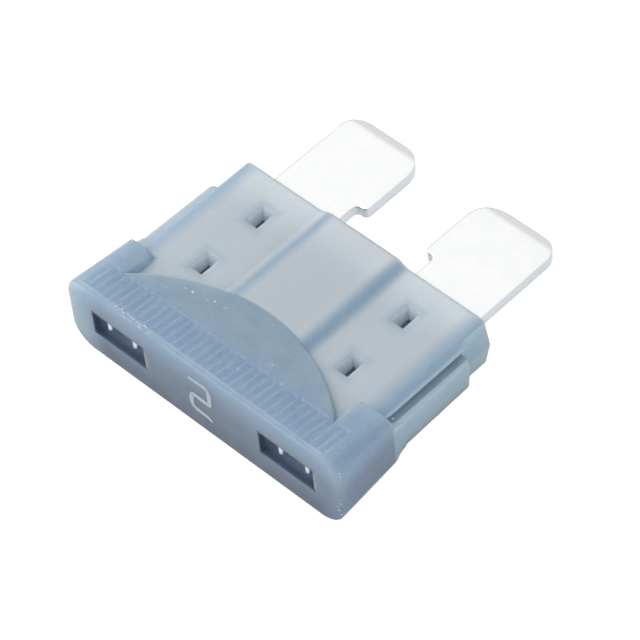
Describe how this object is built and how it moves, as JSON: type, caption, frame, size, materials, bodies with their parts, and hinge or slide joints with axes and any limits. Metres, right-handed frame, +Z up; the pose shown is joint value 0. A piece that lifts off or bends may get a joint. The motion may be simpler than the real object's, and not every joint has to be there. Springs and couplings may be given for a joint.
{
  "type": "plug-in blade fuse",
  "caption": "Regular-size plug-in automotive blade fuse: translucent ribbed housing around a stamped metal strip with two flat blades and a thin link.",
  "frame": {"origin": "middle of the footprint of the fuse lying on one broad face", "axes": "+X across the head, +Y from the grip head to the blade tips, +Z up out of the upper broad face"},
  "size_m": [0.019, 0.0188, 0.0051],
  "materials": {
    "housing_plastic": "translucent, fine matt moulded",
    "plated_metal": "bright tin plating, slightly brushed",
    "pale_print": "matt printed figure"
  },
  "bodies": {
    "root": {"housing": "housing_plastic", "fuse_element": "plated_metal"}
  },
  "joints": []
}
